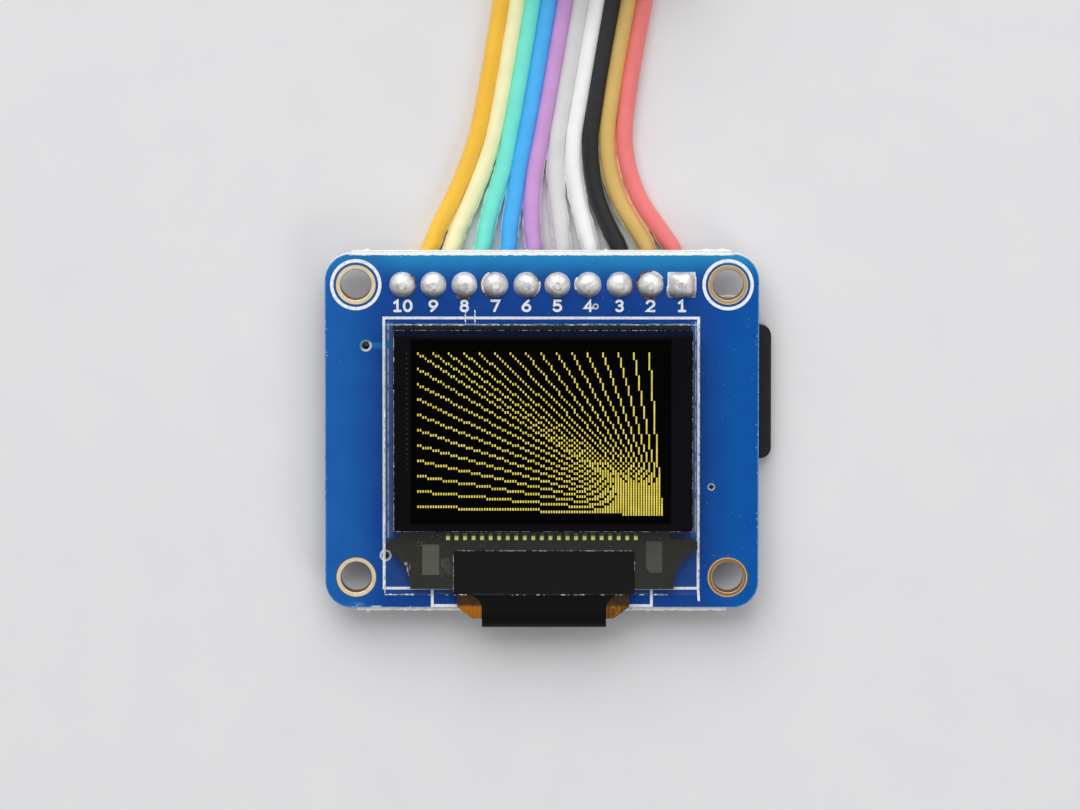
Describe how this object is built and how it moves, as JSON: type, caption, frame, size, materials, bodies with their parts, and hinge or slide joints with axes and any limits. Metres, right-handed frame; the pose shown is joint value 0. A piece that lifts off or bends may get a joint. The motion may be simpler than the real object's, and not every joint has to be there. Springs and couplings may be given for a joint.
{
  "type": "colour display module",
  "caption": "Small colour light-emitting display panel on a blue circuit board, with corner holes, a memory card socket behind and a rainbow ribbon cable soldered to its header.",
  "frame": {"origin": "centre of the four mounting holes, on the front face of the circuit board", "axes": "+Z out of the display, +Y towards the header row and its cable, +X towards the memory card"},
  "size_m": [0.0366, 0.1084, 0.0095],
  "materials": {
    "amber_film": "translucent amber film with copper lines",
    "band_rubber": "thin black stretch band",
    "black_moulding": "moulded black plastic",
    "black_tape": "matt black tape",
    "cap_glass": "clear rear glass",
    "card_plastic": "fine-textured black plastic",
    "ceramic_tan": "fired tan ceramic",
    "chip_epoxy": "moulded black epoxy",
    "ferrite": "sintered dark ferrite",
    "ferrite_core": "sintered ferrite drum",
    "foam_tape": "thin white double-sided tape",
    "gold_plate": "gold plated copper",
    "jacket_black": "soft black wire jacket",
    "jacket_blue": "soft blue wire jacket",
    "jacket_brown": "soft brown wire jacket",
    "jacket_green": "soft green wire jacket",
    "jacket_grey": "soft grey wire jacket",
    "jacket_orange": "soft orange wire jacket",
    "jacket_purple": "soft purple wire jacket",
    "jacket_red": "soft red wire jacket",
    "jacket_white": "soft white wire jacket",
    "jacket_yellow": "soft yellow wire jacket",
    "panel_glass": "polished clear glass with ground edges",
    "pixel_layer": "black pixel layer with lit yellow points",
    "plug_plastic": "moulded black plastic",
    "polarizer_film": "glossy dark polarizer film",
    "resistor_coat": "black glaze",
    "ribbon_jacket": "soft coloured jackets, bonded side by side",
    "silicon": "bare silicon die",
    "solder": "bright tin solder",
    "solder_mask": "satin blue solder mask over glass fibre board",
    "stamped_steel": "stamped stainless sheet",
    "tinned_copper": "tinned copper strands",
    "tinned_leads": "matt tin plate"
  },
  "bodies": {
    "root": {"circuit_board": "solder_mask", "mounting_hole_lands": "gold_plate", "header_lands": "gold_plate", "header_solder": "solder", "wire_strands": "tinned_copper", "adhesive_pad": "foam_tape", "cap_glass": "cap_glass", "panel_glass": "panel_glass", "polarizer": "polarizer_film", "pixel_matrix": "pixel_layer", "panel_contacts": "gold_plate", "flex_tail": "amber_film", "driver_chip": "silicon", "flex_tape": "black_tape", "flex_solder": "solder", "socket_base": "black_moulding", "socket_shell": "stamped_steel", "socket_springs": "gold_plate", "memory_card": "card_plastic", "card_contacts": "gold_plate", "level_shifter": "chip_epoxy", "level_shifter_leads": "tinned_leads", "regulator": "chip_epoxy", "boost_converter": "chip_epoxy", "small_chip_leads": "tinned_leads", "inductor_shield": "ferrite", "inductor_core": "ferrite_core", "diode": "chip_epoxy", "diode_tabs": "tinned_leads", "capacitors": "ceramic_tan", "capacitor_ends": "tinned_leads", "resistors": "resistor_coat", "resistor_ends": "tinned_leads", "component_lands": "solder", "wire_orange": "jacket_orange", "wire_yellow": "jacket_yellow", "wire_green": "jacket_green", "wire_blue": "jacket_blue", "wire_purple": "jacket_purple", "wire_grey": "jacket_grey", "wire_white": "jacket_white", "wire_black": "jacket_black", "wire_brown": "jacket_brown", "wire_red": "jacket_red", "cable_hank": "ribbon_jacket", "cable_band": "band_rubber", "plug_orange": "plug_plastic", "plug_yellow": "plug_plastic", "plug_green": "plug_plastic", "plug_blue": "plug_plastic", "plug_purple": "plug_plastic", "plug_grey": "plug_plastic", "plug_white": "plug_plastic", "plug_black": "plug_plastic", "plug_brown": "plug_plastic", "plug_red": "plug_plastic", "plug_contacts": "tinned_leads"}
  },
  "joints": []
}
